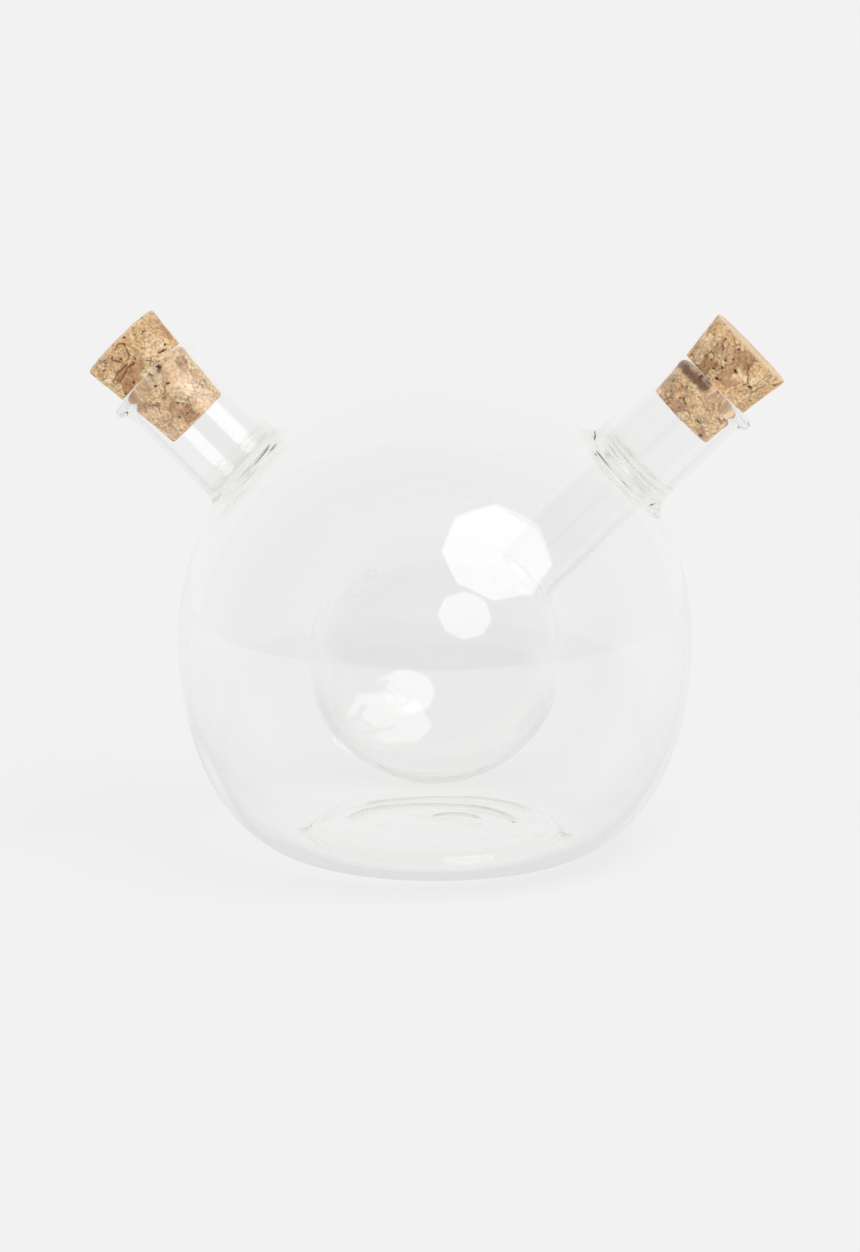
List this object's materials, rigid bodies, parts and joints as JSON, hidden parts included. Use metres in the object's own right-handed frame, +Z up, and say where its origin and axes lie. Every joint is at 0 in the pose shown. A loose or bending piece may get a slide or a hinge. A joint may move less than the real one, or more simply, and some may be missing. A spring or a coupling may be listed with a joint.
{
  "type": "oil and vinegar cruet",
  "caption": "Round clear glass cruet with a small bubble welded inside; slanted necks left and right, each closed by a tapered cork, pour oil and vinegar separately.",
  "frame": {"origin": "middle of the base, on the surface the cruet stands on", "axes": "+Z up, +X to the neck of the inner bubble, -X to the neck of the outer vessel"},
  "size_m": [0.1608, 0.12, 0.126],
  "materials": {
    "clear_glass": "clear, fire-polished",
    "cork": "bare agglomerated cork"
  },
  "bodies": {
    "vessel": {"outer_vessel": "clear_glass", "inner_bubble": "clear_glass", "left_neck": "clear_glass", "right_neck": "clear_glass"},
    "left_stopper": {"left_cork": "cork"},
    "right_stopper": {"right_cork": "cork"}
  },
  "joints": [
    {"name": "left_cork_pull", "type": "slide", "parent": "vessel", "child": "left_stopper", "axis": [-0.7071, 0, 0.7071], "range_m": [0, 0.03]},
    {"name": "right_cork_pull", "type": "slide", "parent": "vessel", "child": "right_stopper", "axis": [0.7071, 0, 0.7071], "range_m": [0, 0.03]}
  ]
}
